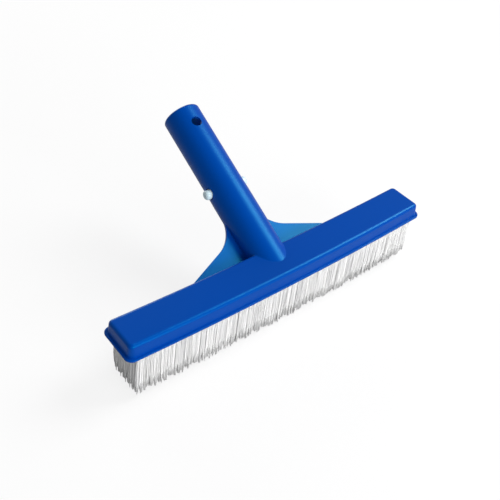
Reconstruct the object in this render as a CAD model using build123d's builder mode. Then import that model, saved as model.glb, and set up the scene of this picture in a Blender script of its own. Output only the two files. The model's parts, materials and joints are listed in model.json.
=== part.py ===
from build123d import *
import os
from math import cos, radians, sin, sqrt, tan

# Pool wall brush: a bowed plastic back with 190 stapled tufts, a leaning hollow handle that goes
# inside a telescopic pole, two webs that brace it, and a sprung clip whose pins lock the pole.
# Millimetres. X runs along the brush, +Y to the back, +Z up. The brush stands on its bristles.

# ---- back (the bar that carries the bristles)
bar_length = 254.0
bar_width = 31.4
bar_height = 10.8
bow_radius = 2150.0          # the underside is bowed, with both ends up
corner_radius = 5.0
block_corner_radius = 4.6    # of the wall's foot, inside the lip
lip_reach = 1.2              # how far the lip stands out from the foot of the wall
lip_thickness = 1.3
lip_edge_round = 0.4
wall_draft = 6.5             # degrees that each wall leans in
top_edge_round = 2.5

# ---- bristles
row_names = ["front", "front_middle", "middle", "rear_middle", "rear"]
row_pitch = 5.3
tufts_per_row = 38
tuft_pitch = 6.3
bristle_length = 36.0
tuft_root_radius = 1.7       # where it leaves the underside
tuft_tip_radius = 2.45
tuft_clearance = 0.1         # round the root of a tuft in its hole
tuft_hole_depth = 7.0
anchor_thickness = 0.6
anchor_height = 1.8
anchor_bite = 0.35           # how far each end of an anchor bites into the hole's wall

# ---- handle
handle_radius = 14.0
handle_bore_radius = 11.5
handle_tilt = 62.8           # degrees from upright
handle_foot = 8.0            # behind the bar's centre line, where the axis crosses the underside
handle_length = 126.1        # along the axis, from that crossing to the open end
handle_root_depth = 2.0      # how deep the handle's upper line starts below the bar's top
handle_blend = 1.0           # soft round where the handle leaves the bar's top
bore_depth = 88.5
rim_round = 1.6
spigot_relief = 0.2          # the handle is this much slimmer past its pins, where the pole starts
spigot_from_end = 58.5       # where it has reached its slimmer radius
cross_hole_radius = 3.75
cross_hole_from_end = 14.5

# ---- webs
web_thickness = 2.4
web_drop = 2.0               # from the handle's axis to the web's upper face
web_half_span = 66.0         # at the bar's back face
web_rake = 21.9              # degrees between the web's free edge and the bar
web_blend = 25.0             # hollow round where the free edge turns up the handle
web_inset = 0.3              # how far the top of that round lies inside the handle's skin

# ---- pole clip
pin_radius = 3.5
pin_clearance = 0.6          # lets a pin swing in with its arm
pin_stand_out = 3.8
pin_end_round = 2.2
pin_from_end = 63.3
clip_thickness = 2.0
clip_width = 8.0
clip_bore_gap = 0.25         # between the clip's corners and the bore
clip_arm_length = 32.0       # from a pin's axis to the arm's root
clip_arm_tail = 6.0          # past the pin's axis
clip_joint_gap = 0.2         # between an arm and the bend it flexes on

# ---- places that follow from the sizes
margin = 5.0                 # how far trimming tools overrun what they trim
band_reach = bar_length / 2 + margin
block_length = bar_length - 2 * lip_reach
block_width = bar_width - 2 * lip_reach
tilt = radians(handle_tilt)
handle_end_y = handle_foot + (handle_length - rim_round) * sin(tilt)
spigot_radius = handle_radius - spigot_relief
handle_back = handle_end_y + (spigot_radius - rim_round) * cos(tilt) + rim_round
bar_y = (bar_width / 2 - handle_back) / 2      # puts the origin under the middle of the outline
underside_z = bristle_length
handle_direction = (0, sin(tilt), cos(tilt))
handle_origin = (0, bar_y + handle_foot, underside_z)


def handle_plane(along, lift=0.0):
    """Plane square to the handle's axis: X is the brush's X, Y points to the handle's underside."""
    y = handle_origin[1] + along * sin(tilt) - lift * cos(tilt)
    z = handle_origin[2] + along * cos(tilt) + lift * sin(tilt)
    return Plane(origin=(0, y, z), x_dir=(1, 0, 0), z_dir=handle_direction)


def axis_plane(lift=0.0):
    """Plane that holds the handle's axis (or lies above it): X is the brush's X, Y runs up the axis."""
    return Plane(origin=handle_plane(0, lift).origin, x_dir=(1, 0, 0), z_dir=(0, -cos(tilt), sin(tilt)))


def side_plane(along, side=1):
    """Plane that faces the brush's right (1) or left (-1) at a place on the handle's axis."""
    return Plane(origin=handle_plane(along).origin, x_dir=handle_direction, z_dir=(side, 0, 0))


def bow_frame(along, y):
    """Frame on the bowed underside: Z points into the bar, square to the bow."""
    turn = along / bow_radius
    origin = (bow_radius * sin(turn), y, underside_z + bow_radius * (1 - cos(turn)))
    return Plane(origin=origin, x_dir=(cos(turn), 0, sin(turn)), z_dir=(-sin(turn), 0, cos(turn)))


def bow_height(x, above):
    """Height of the bowed surface that lies a given distance above the underside."""
    radius = bow_radius - above
    return underside_z + bow_radius - sqrt(radius**2 - x**2)

# handle and webs, measured along the handle's axis from where it crosses the underside
junction_level = underside_z + bar_height - top_edge_round
handle_start = (bar_height - handle_root_depth - handle_radius * sin(tilt)) / cos(tilt)
pin_place = handle_length - pin_from_end
web_side = sqrt(handle_radius**2 - (web_drop + web_thickness) ** 2) - web_inset
web_at_bar = (bar_width / 2 - handle_foot - web_drop * cos(tilt)) / sin(tilt)
web_corner = web_at_bar + (web_half_span - web_side) * tan(radians(web_rake))
web_foot_span = web_half_span + web_at_bar / tan(radians(web_rake))
web_top = web_corner + web_blend


def bowed_band(low, high):
    """Sketch in the XZ plane of the band between two levels, each a distance above the underside."""
    corners = [(x, bow_height(x, above)) for above in (low, high) for x in (-band_reach, 0, band_reach)]
    with BuildSketch(Plane.XZ) as band:
        with BuildLine():
            ThreePointArc(*corners[:3])
            ThreePointArc(*corners[3:])
            Line(corners[0], corners[3])
            Line(corners[2], corners[5])
        make_face()
    return band.sketch


def row_y(row):
    """Y of a row of tufts, counted from the front."""
    return bar_y + (row - (len(row_names) - 1) / 2) * row_pitch


def tuft_frames(row):
    """Frames of a row's tufts on the bowed underside."""
    first = -(tufts_per_row - 1) / 2 * tuft_pitch
    return [bow_frame(first + number * tuft_pitch, row_y(row)) for number in range(tufts_per_row)]


# ---- one tuft, one anchor and the pocket they share, each at the origin with its hole along +Z
tuft_hole_radius = tuft_root_radius + tuft_clearance
tuft_end = tuft_hole_depth - anchor_height     # a tuft runs up to its anchor, at the end of the hole
tuft_end_radius = tuft_root_radius - (tuft_tip_radius - tuft_root_radius) * tuft_end / bristle_length
anchor_length = 2 * (tuft_hole_radius + anchor_bite)

with BuildPart() as anchor:
    with Locations((0, 0, tuft_end)):
        Box(anchor_length, anchor_thickness, anchor_height, align=(Align.CENTER, Align.CENTER, Align.MIN))

with BuildPart() as tuft:
    with Locations((0, 0, -bristle_length)):
        Cone(
            tuft_tip_radius,
            tuft_end_radius,
            bristle_length + tuft_end,
            align=(Align.CENTER, Align.CENTER, Align.MIN),
        )

with BuildPart() as tuft_pocket:
    with Locations((0, 0, -margin)):
        Cylinder(
            tuft_hole_radius,
            margin + tuft_hole_depth,
            align=(Align.CENTER, Align.CENTER, Align.MIN),
        )
    add(anchor.part)

# ---- back, handle and webs: one moulding
with BuildPart() as lip:
    with BuildSketch(Plane.XY.offset(underside_z - margin)):
        with Locations((0, bar_y)):
            RectangleRounded(bar_length, bar_width, corner_radius)
    extrude(amount=bar_height + 2 * margin)
    extrude(bowed_band(-2 * margin, lip_thickness), amount=handle_back, both=True, mode=Mode.INTERSECT)
    lip_top = lip.faces().filter_by(GeomType.CYLINDER).sort_by(SortBy.AREA)[-1]
    fillet(lip_top.edges(), lip_edge_round)

with BuildPart() as brush_body:
    with BuildSketch(Plane.XY.offset(underside_z)):
        with Locations((0, bar_y)):
            RectangleRounded(block_length, block_width, block_corner_radius)
    extrude(amount=bar_height + 2 * margin, taper=wall_draft)
    extrude(bowed_band(-2 * margin, bar_height), amount=handle_back, both=True, mode=Mode.INTERSECT)
    bar_top = brush_body.faces().sort_by(Axis.Z)[-1]
    fillet(bar_top.edges(), top_edge_round)

    # handle, solid for now, started deep enough for its upper line to leave through the bar's top, and
    # turned with its seam along the underside, clear of the soft round
    with BuildSketch(side_plane(0, -1)):
        Polygon(
            (handle_start, 0),
            (handle_length, 0),
            (handle_length, spigot_radius),
            (handle_length - spigot_from_end, spigot_radius),
            (web_top, handle_radius),
            (handle_start, handle_radius),
            align=None,
        )
    revolve(axis=Axis(handle_origin, handle_direction))
    handle_edges = brush_body.edges(Select.LAST)
    fillet(handle_edges.sort_by(Axis.Y)[-1], rim_round)
    junction_edges = handle_edges.filter_by(GeomType.BSPLINE)
    junction_edges = junction_edges.filter_by(lambda edge: abs((edge @ 0.5).X) < handle_radius)
    fillet(junction_edges.filter_by(lambda edge: (edge @ 0.5).Z > junction_level), handle_blend)
    add(lip.part)

    # both webs are one plate through the handle, with its upper face below the handle's axis
    with BuildSketch(axis_plane(-web_drop)) as web_outline:
        with BuildLine():
            Polyline(
                (-web_foot_span, 0),
                (-web_side, web_corner),
                (-web_side, web_top),
                (web_side, web_top),
                (web_side, web_corner),
                (web_foot_span, 0),
                close=True,
            )
        make_face()
        fillet(web_outline.vertices().filter_by_position(Axis.Y, web_corner, web_corner), web_blend)
    extrude(amount=-web_thickness)

    # everything ends at the bowed underside
    extrude(bowed_band(0, bow_radius / 2), amount=handle_back, both=True, mode=Mode.INTERSECT)

    # the open end of the handle, its bore and its cross holes
    with BuildSketch(handle_plane(handle_length)):
        Circle(handle_bore_radius)
    extrude(amount=-bore_depth, mode=Mode.SUBTRACT)
    with BuildSketch(axis_plane()):
        with Locations((0, handle_length - cross_hole_from_end)):
            Circle(cross_hole_radius)
    extrude(amount=handle_radius + margin, both=True, mode=Mode.SUBTRACT)
    with BuildSketch(side_plane(pin_place)):
        Circle(pin_radius + pin_clearance)
    extrude(amount=handle_radius + margin, both=True, mode=Mode.SUBTRACT)

    # pockets for the tufts and their anchors
    for row in range(len(row_names)):
        with Locations(*tuft_frames(row)):
            add(tuft_pocket.part, mode=Mode.SUBTRACT)

# ---- pole clip: one springy moulding, in three nodes because its arms flex about its bend
clip_outer = sqrt((handle_bore_radius - clip_bore_gap) ** 2 - (clip_width / 2) ** 2)
clip_inner = clip_outer - clip_thickness
clip_root = pin_place + clip_arm_length
clip_arm_reach = clip_arm_length - clip_joint_gap + clip_arm_tail

with BuildPart() as clip_bend:
    with BuildSketch(axis_plane(-clip_width / 2)):
        with Locations((0, clip_root)):
            Circle(clip_outer)
            Circle(clip_inner, mode=Mode.SUBTRACT)
            Rectangle(2 * clip_outer, clip_outer, align=(Align.CENTER, Align.MAX), mode=Mode.SUBTRACT)
    extrude(amount=clip_width)


def clip_arm(side):
    """Arm of the clip on the right (1) or left (-1), with the pin that sticks out of the handle."""
    with BuildPart() as arm:
        with BuildSketch(axis_plane(-clip_width / 2)):
            with Locations((side * (clip_inner + clip_outer) / 2, clip_root - clip_joint_gap)):
                Rectangle(clip_thickness, clip_arm_reach, align=(Align.CENTER, Align.MAX))
        extrude(amount=clip_width)
        with BuildSketch(side_plane(pin_place, side).offset(clip_inner)):
            Circle(pin_radius)
        extrude(amount=handle_radius + pin_stand_out - clip_inner)
        fillet(arm.faces().sort_by(Axis.X)[-1 if side > 0 else 0].edges(), pin_end_round)
    return arm.part


# ---- every piece in its own file
os.makedirs("parts", exist_ok=True)


def write(piece, name):
    piece.label = name
    export_step(piece, f"parts/{name}.step")


write(brush_body.part, "brush_body")
write(clip_bend.part, "clip_bend")
write(clip_arm(-1), "left_clip_arm")
write(clip_arm(1), "right_clip_arm")

for row, row_name in enumerate(row_names):
    with BuildPart() as tuft_row:
        with Locations(*tuft_frames(row)):
            add(tuft.part)
    with BuildPart() as anchor_row:
        with Locations(*tuft_frames(row)):
            add(anchor.part)
    write(tuft_row.part, f"{row_name}_tufts")
    write(anchor_row.part, f"{row_name}_anchors")
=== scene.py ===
import json
import math
import random

import bpy
from mathutils import Matrix, Vector


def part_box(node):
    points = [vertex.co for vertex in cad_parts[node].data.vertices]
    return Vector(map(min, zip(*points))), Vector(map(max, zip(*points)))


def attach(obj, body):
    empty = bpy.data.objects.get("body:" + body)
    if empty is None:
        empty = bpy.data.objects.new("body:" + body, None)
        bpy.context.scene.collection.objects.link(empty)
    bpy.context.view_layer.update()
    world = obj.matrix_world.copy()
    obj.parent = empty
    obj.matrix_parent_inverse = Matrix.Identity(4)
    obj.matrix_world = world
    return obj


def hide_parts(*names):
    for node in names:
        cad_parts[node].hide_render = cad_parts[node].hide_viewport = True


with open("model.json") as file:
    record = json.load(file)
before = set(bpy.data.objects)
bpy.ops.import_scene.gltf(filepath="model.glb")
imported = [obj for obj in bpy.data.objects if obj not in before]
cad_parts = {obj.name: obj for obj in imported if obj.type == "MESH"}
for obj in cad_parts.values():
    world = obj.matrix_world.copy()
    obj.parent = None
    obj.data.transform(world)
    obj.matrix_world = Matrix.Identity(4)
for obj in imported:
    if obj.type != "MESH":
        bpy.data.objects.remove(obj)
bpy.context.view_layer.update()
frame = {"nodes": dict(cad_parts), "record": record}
print("frame loaded:", len(frame["nodes"]), "nodes")

# heights and places of the brush, read from the CAD nodes
bodyLow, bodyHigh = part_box("brush_body")
fieldLow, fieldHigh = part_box("middle_tufts")
rowMiddle = (fieldLow + fieldHigh) / 2


# ---- camera, first: it looks down on the brush from its front left
camera = {
    "azimuth": -43.3,
    "elevation": 41.89,
    "roll": 7.26,
    "distance": 0.4462,
    "lens": 51.13,
    "sensor": 36.0,
    "aimAlong": -0.0289,
    "aimAbove": 0.0692,
    "nearest": 0.01,
}


def makeCamera():
    turn = math.radians(camera["azimuth"])
    rise = math.radians(camera["elevation"])
    roll = math.radians(camera["roll"])
    back = Vector((math.sin(turn) * math.cos(rise), -math.cos(turn) * math.cos(rise), math.sin(rise)))
    level = Vector((math.cos(turn), math.sin(turn), 0))
    upright = back.cross(level)
    right = level * math.cos(roll) + upright * math.sin(roll)
    up = upright * math.cos(roll) - level * math.sin(roll)
    aim = Vector((camera["aimAlong"], rowMiddle.y, fieldLow.z + camera["aimAbove"]))
    place = Matrix((right, up, back)).transposed().to_4x4()
    place.translation = aim + back * camera["distance"]
    bpy.ops.object.camera_add()
    eye = bpy.context.object
    eye.name = "viewCamera"
    eye.matrix_world = place
    eye.data.lens = camera["lens"]
    eye.data.sensor_width = camera["sensor"]
    eye.data.clip_start = camera["nearest"]
    bpy.context.scene.camera = eye


makeCamera()
bpy.context.scene.view_settings.view_transform = "Standard"
print("camera placed")


# ---- studio: one big soft key from the upper right, a fill from the front, a weak pale world
studio = {
    "floorSize": 6.0,
    "floorColor": (0.42, 0.42, 0.42, 1),   # as it lights the brush from below
    "shownColor": (0.9, 0.9, 0.9, 1),      # and as it is seen
    "floorGlow": 0.8,            # share that shows as plain white; the rest keeps the shadow
    "mirroredGlow": 0.15,        # and the share in reflections
    "shadowReach": [0.3, 0.9],   # from the middle, where the floor turns to the world's white
    "worldStrength": 0.3,
    "worldShown": 0.97,
    "lamps": [
        # name, direction from the brush, distance, size, power
        ("keyLamp", (0.66, -0.17, 0.73), 1.3, 0.62, 13.0),
        ("fillLamp", (0.02, -0.95, 0.25), 1.4, 0.9, 17.0),
        ("backLamp", (0.1, 0.95, 0.2), 1.5, 0.9, 10.0),
    ],
}


def makeFloor():
    bpy.ops.mesh.primitive_plane_add(size=studio["floorSize"], location=(0, 0, fieldLow.z))
    floor = bpy.context.object
    floor.name = "studioFloor"
    bpy.ops.object.transform_apply(location=True)
    mat = bpy.data.materials.new("paleFloor")
    mat.use_nodes = True
    nodes, links = mat.node_tree.nodes, mat.node_tree.links
    nodes.clear()
    out = nodes.new("ShaderNodeOutputMaterial")
    mix = nodes.new("ShaderNodeMixShader")
    paper = nodes.new("ShaderNodeBsdfDiffuse")
    tone = nodes.new("ShaderNodeMix")
    tone.data_type = "RGBA"
    tone.inputs["A"].default_value = studio["floorColor"]
    tone.inputs["B"].default_value = studio["shownColor"]
    links.new(tone.outputs["Result"], paper.inputs["Color"])
    glow = nodes.new("ShaderNodeEmission")
    glow.inputs["Color"].default_value = (1, 1, 1, 1)
    ray = nodes.new("ShaderNodeLightPath")
    links.new(ray.outputs["Is Camera Ray"], tone.inputs["Factor"])
    mirrored = nodes.new("ShaderNodeMath")
    mirrored.operation = "ADD"
    links.new(ray.outputs["Is Glossy Ray"], mirrored.inputs[0])
    links.new(ray.outputs["Is Transmission Ray"], mirrored.inputs[1])
    faint = nodes.new("ShaderNodeMath")
    faint.operation = "MULTIPLY"
    faint.inputs[1].default_value = studio["mirroredGlow"]
    links.new(mirrored.outputs[0], faint.inputs[0])
    place = nodes.new("ShaderNodeTexCoord")
    away = nodes.new("ShaderNodeVectorMath")
    away.operation = "LENGTH"
    links.new(place.outputs["Object"], away.inputs[0])
    plain = nodes.new("ShaderNodeMapRange")
    plain.interpolation_type = "SMOOTHSTEP"
    plain.inputs["From Min"].default_value, plain.inputs["From Max"].default_value = studio["shadowReach"]
    plain.inputs["To Min"].default_value = studio["floorGlow"]
    plain.inputs["To Max"].default_value = studio["worldShown"]
    links.new(away.outputs["Value"], plain.inputs["Value"])
    share = nodes.new("ShaderNodeMath")
    share.operation = "MULTIPLY_ADD"
    links.new(plain.outputs["Result"], share.inputs[1])
    links.new(ray.outputs["Is Camera Ray"], share.inputs[0])
    links.new(faint.outputs[0], share.inputs[2])
    links.new(share.outputs[0], mix.inputs[0])
    links.new(paper.outputs[0], mix.inputs[1])
    links.new(glow.outputs[0], mix.inputs[2])
    links.new(mix.outputs[0], out.inputs["Surface"])
    floor.data.materials.append(mat)


def makeLamps():
    aim = Vector((0, rowMiddle.y, (fieldLow.z + bodyHigh.z) / 2))
    for name, toward, distance, size, power in studio["lamps"]:
        toward = Vector(toward).normalized()
        bpy.ops.object.light_add(type="AREA", location=aim + toward * distance)
        lamp = bpy.context.object
        lamp.name = name
        lamp.rotation_euler = toward.to_track_quat("Z", "Y").to_euler()
        lamp.data.size = size
        lamp.data.energy = power


def makeWorld():
    world = bpy.data.worlds.new("paleWorld")
    bpy.context.scene.world = world
    world.use_nodes = True
    nodes, links = world.node_tree.nodes, world.node_tree.links
    sky = nodes["Background"]
    sky.inputs["Color"].default_value = (1, 1, 1, 1)
    ray = nodes.new("ShaderNodeLightPath")
    strength = nodes.new("ShaderNodeMapRange")       # plain white to the camera, weaker as light
    strength.inputs["To Min"].default_value = studio["worldStrength"]
    strength.inputs["To Max"].default_value = studio["worldShown"]
    links.new(ray.outputs["Is Camera Ray"], strength.inputs["Value"])
    links.new(strength.outputs["Result"], sky.inputs["Strength"])


makeFloor()
makeLamps()
makeWorld()
print("studio lit")


# ---- shared effects
def groupSocket(group, name, kind, way, value=None):
    socket = group.interface.new_socket(name=name, in_out=way, socket_type=kind)
    if value is not None:
        socket.default_value = value


mouldedNoise = {"cloudDetail": 3.0, "grainDetail": 2.0, "glossFrom": 0.35, "glossTo": 0.65}


# clouded colour, uneven gloss and a fine grain, as on a moulded plastic surface
def makeMouldedGroup():
    group = bpy.data.node_groups.new("mouldedSurface", "ShaderNodeTree")
    groupSocket(group, "Light Color", "NodeSocketColor", "INPUT")
    groupSocket(group, "Deep Color", "NodeSocketColor", "INPUT")
    groupSocket(group, "Cloud Scale", "NodeSocketFloat", "INPUT", 20.0)
    groupSocket(group, "Grain Scale", "NodeSocketFloat", "INPUT", 900.0)
    groupSocket(group, "Low Gloss", "NodeSocketFloat", "INPUT", 0.4)
    groupSocket(group, "High Gloss", "NodeSocketFloat", "INPUT", 0.3)
    groupSocket(group, "Color", "NodeSocketColor", "OUTPUT")
    groupSocket(group, "Roughness", "NodeSocketFloat", "OUTPUT")
    groupSocket(group, "Height", "NodeSocketFloat", "OUTPUT")
    nodes, links = group.nodes, group.links
    into = nodes.new("NodeGroupInput")
    out = nodes.new("NodeGroupOutput")
    place = nodes.new("ShaderNodeTexCoord")
    cloud = nodes.new("ShaderNodeTexNoise")
    cloud.inputs["Detail"].default_value = mouldedNoise["cloudDetail"]
    grain = nodes.new("ShaderNodeTexNoise")
    grain.inputs["Detail"].default_value = mouldedNoise["grainDetail"]
    links.new(place.outputs["Object"], cloud.inputs["Vector"])
    links.new(place.outputs["Object"], grain.inputs["Vector"])
    links.new(into.outputs["Cloud Scale"], cloud.inputs["Scale"])
    links.new(into.outputs["Grain Scale"], grain.inputs["Scale"])
    shade = nodes.new("ShaderNodeMix")
    shade.data_type = "RGBA"
    links.new(cloud.outputs["Fac"], shade.inputs["Factor"])
    links.new(into.outputs["Deep Color"], shade.inputs["A"])
    links.new(into.outputs["Light Color"], shade.inputs["B"])
    gloss = nodes.new("ShaderNodeMapRange")
    gloss.inputs["From Min"].default_value = mouldedNoise["glossFrom"]
    gloss.inputs["From Max"].default_value = mouldedNoise["glossTo"]
    links.new(cloud.outputs["Fac"], gloss.inputs["Value"])
    links.new(into.outputs["Low Gloss"], gloss.inputs["To Min"])
    links.new(into.outputs["High Gloss"], gloss.inputs["To Max"])
    links.new(shade.outputs["Result"], out.inputs["Color"])
    links.new(gloss.outputs["Result"], out.inputs["Roughness"])
    links.new(grain.outputs["Fac"], out.inputs["Height"])
    return group


mouldedGroup = makeMouldedGroup()


def startMaterial(name):
    mat = bpy.data.materials.new(name)
    mat.use_nodes = True
    return mat, mat.node_tree.nodes, mat.node_tree.links, mat.node_tree.nodes["Principled BSDF"]


def addMoulded(nodes, links, shader, look):
    surface = nodes.new("ShaderNodeGroup")
    surface.node_tree = mouldedGroup
    surface.inputs["Light Color"].default_value = look["light"]
    surface.inputs["Deep Color"].default_value = look["deep"]
    surface.inputs["Cloud Scale"].default_value = look["cloudScale"]
    surface.inputs["Grain Scale"].default_value = look["grainScale"]
    surface.inputs["Low Gloss"].default_value = look["lowGloss"]
    surface.inputs["High Gloss"].default_value = look["highGloss"]
    bump = nodes.new("ShaderNodeBump")
    bump.inputs["Strength"].default_value = look["grainStrength"]
    bump.inputs["Distance"].default_value = look["grainDepth"]
    links.new(surface.outputs["Color"], shader.inputs["Base Color"])
    links.new(surface.outputs["Roughness"], shader.inputs["Roughness"])
    links.new(surface.outputs["Height"], bump.inputs["Height"])
    links.new(bump.outputs["Normal"], shader.inputs["Normal"])


# ---- body: deep blue satin plastic
bluePlastic = {
    "light": (0.0, 0.055, 0.37, 1),
    "deep": (0.0, 0.047, 0.325, 1),
    "cloudScale": 14.0,
    "grainScale": 1400.0,
    "grainStrength": 0.05,
    "grainDepth": 0.00008,
    "lowGloss": 0.36,
    "highGloss": 0.3,
    "specular": 0.36,
    "tint": (0.0, 0.75, 1.0, 1),
}


def makeBluePlastic():
    mat, nodes, links, shader = startMaterial("bluePlastic")
    addMoulded(nodes, links, shader, bluePlastic)
    shader.inputs["Specular IOR Level"].default_value = bluePlastic["specular"]
    shader.inputs["Specular Tint"].default_value = bluePlastic["tint"]
    return mat


# ---- clip and its pins: white plastic with a cool cast
pinPlastic = {
    "light": (0.66, 0.83, 0.9, 1),
    "deep": (0.6, 0.77, 0.85, 1),
    "cloudScale": 160.0,
    "grainScale": 2500.0,
    "grainStrength": 0.05,
    "grainDepth": 0.0001,
    "lowGloss": 0.35,
    "highGloss": 0.25,
}


def makePinPlastic():
    mat, nodes, links, shader = startMaterial("pinPlastic")
    addMoulded(nodes, links, shader, pinPlastic)
    return mat


# ---- anchors: drawn stainless wire, with fine lines along it
anchorSteel = {
    "light": (0.62, 0.62, 0.6, 1),
    "deep": (0.42, 0.42, 0.42, 1),
    "lineScale": 3000.0,
    "lineStretch": (0.1, 1, 1),
    "roughness": [0.25, 0.5],
}


def makeAnchorSteel():
    mat, nodes, links, shader = startMaterial("anchorSteel")
    place = nodes.new("ShaderNodeTexCoord")
    stretch = nodes.new("ShaderNodeMapping")
    stretch.inputs["Scale"].default_value = anchorSteel["lineStretch"]
    lines = nodes.new("ShaderNodeTexNoise")
    lines.inputs["Scale"].default_value = anchorSteel["lineScale"]
    ramp = nodes.new("ShaderNodeMix")
    ramp.data_type = "RGBA"
    ramp.inputs["A"].default_value = anchorSteel["deep"]
    ramp.inputs["B"].default_value = anchorSteel["light"]
    rough = nodes.new("ShaderNodeMapRange")
    rough.inputs["To Min"].default_value, rough.inputs["To Max"].default_value = anchorSteel["roughness"]
    links.new(place.outputs["Object"], stretch.inputs["Vector"])
    links.new(stretch.outputs["Vector"], lines.inputs["Vector"])
    links.new(lines.outputs["Fac"], ramp.inputs["Factor"])
    links.new(lines.outputs["Fac"], rough.inputs["Value"])
    links.new(ramp.outputs["Result"], shader.inputs["Base Color"])
    links.new(rough.outputs["Result"], shader.inputs["Roughness"])
    shader.inputs["Metallic"].default_value = 1.0
    return mat


# ---- filaments: off-white nylon, each a little lighter or darker than the next, greyer at the tips
nylon = {
    "pale": (1.0, 1.0, 0.995, 1),
    "grey": (0.96, 0.96, 0.965, 1),
    "tip": (0.7, 0.7, 0.71, 1),
    "strandScale": 900.0,
    "strandStretch": (1, 1, 0.03),
    "strandDetail": 1.0,
    "strandSpread": [0.35, 0.6],
    "tipHeight": 0.006,
    "tipShare": 0.12,
    "roughness": 0.42,
}


def makeNylon():
    mat, nodes, links, shader = startMaterial("nylonFilament")
    place = nodes.new("ShaderNodeTexCoord")
    stretch = nodes.new("ShaderNodeMapping")
    stretch.inputs["Scale"].default_value = nylon["strandStretch"]
    strand = nodes.new("ShaderNodeTexNoise")
    strand.inputs["Scale"].default_value = nylon["strandScale"]
    strand.inputs["Detail"].default_value = nylon["strandDetail"]
    spread = nodes.new("ShaderNodeMapRange")
    spread.inputs["From Min"].default_value, spread.inputs["From Max"].default_value = nylon["strandSpread"]
    tone = nodes.new("ShaderNodeMix")
    tone.data_type = "RGBA"
    tone.inputs["A"].default_value = nylon["grey"]
    tone.inputs["B"].default_value = nylon["pale"]
    apart = nodes.new("ShaderNodeSeparateXYZ")
    low = nodes.new("ShaderNodeMapRange")
    low.inputs["From Min"].default_value = fieldLow.z
    low.inputs["From Max"].default_value = fieldLow.z + nylon["tipHeight"]
    low.inputs["To Min"].default_value = nylon["tipShare"]
    low.inputs["To Max"].default_value = 0.0
    dull = nodes.new("ShaderNodeMix")
    dull.data_type = "RGBA"
    dull.inputs["B"].default_value = nylon["tip"]
    links.new(place.outputs["Object"], stretch.inputs["Vector"])
    links.new(stretch.outputs["Vector"], strand.inputs["Vector"])
    links.new(strand.outputs["Fac"], spread.inputs["Value"])
    links.new(spread.outputs["Result"], tone.inputs["Factor"])
    links.new(place.outputs["Object"], apart.inputs["Vector"])
    links.new(apart.outputs["Z"], low.inputs["Value"])
    links.new(low.outputs["Result"], dull.inputs["Factor"])
    links.new(tone.outputs["Result"], dull.inputs["A"])
    links.new(dull.outputs["Result"], shader.inputs["Base Color"])
    shader.inputs["Roughness"].default_value = nylon["roughness"]
    return mat


materials = {
    "blue_plastic": makeBluePlastic(),
    "clip_plastic": makePinPlastic(),
    "anchor_steel": makeAnchorSteel(),
    "bristle": makeNylon(),
}


def dressNodes():
    for part in frame["record"]["subparts"]:
        node = frame["nodes"][part["node"]]
        node.data.materials.clear()
        node.data.materials.append(materials[part["material_slot"]])


dressNodes()
print("CAD nodes dressed")


# ---- bristles: one filament, bundled into a few tufts, which fill the rows
bristle = {
    "rows": ["front", "front_middle", "middle", "rear_middle", "rear"],
    "tuftsPerRow": 38,
    "pitch": 0.0063,
    "bowRadius": 2.15,
    "rootHeight": 0.036,         # of the back's underside, over the lowest tips
    "rootDepth": 0.0015,         # how far a filament goes on into its hole
    "grid": [14, 13],             # filaments of a tuft, along and across the row
    "filamentRadius": 0.00025,
    "rootReach": 0.0012,         # half the width of a tuft in its hole
    "tipReach": [0.0034, 0.0029],  # and at its tips, along and across the row
    "flare": 0.07,               # under 1, so that a tuft opens out just below its hole
    "bends": [0.03, 0.35, 0.7],   # shares of the length where a filament may bend
    "clumps": 20,                 # bunches in which a tuft's tips gather
    "gather": 0.55,
    "gatherFrom": 0.7,
    "shortest": 0.0065,          # how much shorter than the rest a filament may be
    "clumpShort": 0.7,           # share of that by which a whole clump may be short
    "clumpSkew": 1.5,
    "outerShort": 0.8,           # more of it the further a filament stands from its clump
    "strayShort": 0.5,           # and for a few strays
    "straySkew": 3,
    "wander": 0.00015,
    "spin": 0.06,
    "kinds": 12,
    "seed": 7,
}


def deselectAll():
    bpy.ops.object.select_all(action="DESELECT")


def makeFilament():
    deselectAll()
    length = bristle["rootHeight"] + bristle["rootDepth"]
    bpy.ops.mesh.primitive_cylinder_add(
        vertices=3,
        radius=bristle["filamentRadius"],
        depth=length,
        end_fill_type="NGON",
        location=(0, 0, bristle["rootDepth"] - length / 2),
    )
    filament = bpy.context.object
    bpy.ops.object.transform_apply(location=True)
    bpy.ops.object.mode_set(mode="EDIT")
    for share in bristle["bends"]:
        bpy.ops.mesh.select_all(action="SELECT")
        bpy.ops.mesh.bisect(plane_co=(0, 0, -share * bristle["rootHeight"]), plane_no=(0, 0, 1))
    bpy.ops.object.mode_set(mode="OBJECT")
    bpy.ops.object.shade_smooth()
    return filament


def spotIn(half, dice):
    return Vector((dice.uniform(-half, half), dice.uniform(-half, half)))


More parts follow.
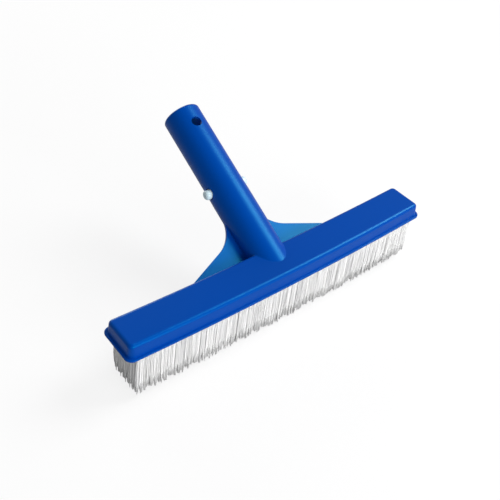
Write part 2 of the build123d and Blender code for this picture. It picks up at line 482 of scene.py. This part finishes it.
# a filament leaves the hole near the middle of its tuft, leans out, and its tip joins the nearest clump
def leanFilament(mesh, spot, clumps, dice):
    clump = min(clumps, key=lambda c: (c["spot"] - spot).length)
    apart = (clump["spot"] - spot).length
    root = spot * bristle["rootReach"]
    tip = spot * Vector(bristle["tipReach"])
    gatherSide = clump["spot"] * Vector(bristle["tipReach"]) - tip
    drift = Vector((dice.gauss(0, 1), dice.gauss(0, 1))) * bristle["wander"]
    sway = Vector((dice.gauss(0, 1), dice.gauss(0, 1))) * bristle["wander"]
    uneven = apart * dice.uniform(0, bristle["outerShort"])
    uneven += bristle["strayShort"] * dice.random() ** bristle["straySkew"]
    short = bristle["shortest"] * min(1, clump["short"] + uneven)
    cut = 1 - short / bristle["rootHeight"]
    for v in mesh.vertices:
        share = min(1, max(0, -v.co.z / bristle["rootHeight"]))
        flare = share ** bristle["flare"]
        gather = bristle["gather"] * max(0, share - bristle["gatherFrom"]) / (1 - bristle["gatherFrom"])
        side = root * (1 - flare) + tip * flare
        side += gatherSide * gather
        side += drift * share + sway * math.sin(math.pi * share)
        v.co.x += side.x
        v.co.y += side.y
        if v.co.z < 0:
            v.co.z *= cut


def joinInto(first, others):
    deselectAll()
    for other in others:
        other.select_set(True)
    first.select_set(True)
    bpy.context.view_layer.objects.active = first
    bpy.ops.object.join()
    return first


def copyOf(thing):
    twin = thing.copy()
    twin.data = thing.data.copy()
    bpy.context.collection.objects.link(twin)
    return twin


def clumpShort(dice):
    return bristle["clumpShort"] * dice.random() ** bristle["clumpSkew"]


def makeTuft(filament, dice):
    clumps = [{"spot": spotIn(1.0, dice), "short": clumpShort(dice)}
              for number in range(bristle["clumps"])]
    along, across = bristle["grid"]
    strands = []
    for column in range(along):
        for line in range(across):
            spot = Vector(((column + dice.random()) / along, (line + dice.random()) / across))
            strand = copyOf(filament)
            strand.data.transform(Matrix.Rotation(dice.uniform(0, math.pi), 4, "Z"))
            leanFilament(strand.data, spot * 2 - Vector((1, 1)), clumps, dice)
            strands.append(strand)
    return joinInto(strands[0], strands[1:])


# place of a tuft's hole on the bowed underside, with -Z square to the bow
def tuftPlace(number, y):
    turn = (number - (bristle["tuftsPerRow"] - 1) / 2) * bristle["pitch"] / bristle["bowRadius"]
    height = fieldLow.z + bristle["rootHeight"] + bristle["bowRadius"] * (1 - math.cos(turn))
    return (Matrix.Translation((bristle["bowRadius"] * math.sin(turn), y, height))
            @ Matrix.Rotation(-turn, 4, "Y"))


def makeRow(row, tufts, dice):
    low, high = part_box(f"{row}_tufts")
    copies = []
    for number in range(bristle["tuftsPerRow"]):
        twin = copyOf(dice.choice(tufts))
        spin = Matrix.Rotation(dice.choice([0, math.pi]) + dice.gauss(0, bristle["spin"]), 4, "Z")
        twin.data.transform(tuftPlace(number, (low.y + high.y) / 2) @ spin)
        copies.append(twin)
    piece = joinInto(copies[0], copies[1:])
    piece.name = f"{row}_bristles"
    piece.data.materials.clear()
    piece.data.materials.append(materials["bristle"])
    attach(piece, "brush")
    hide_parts(f"{row}_tufts")
    return piece


def makeBristles():
    dice = random.Random(bristle["seed"])
    filament = makeFilament()
    tufts = [makeTuft(filament, dice) for kind in range(bristle["kinds"])]
    for row in bristle["rows"]:
        makeRow(row, tufts, dice)
    deselectAll()
    for spare in [filament] + tufts:
        spare.select_set(True)
    bpy.ops.object.delete()


makeBristles()
print("bristles made")
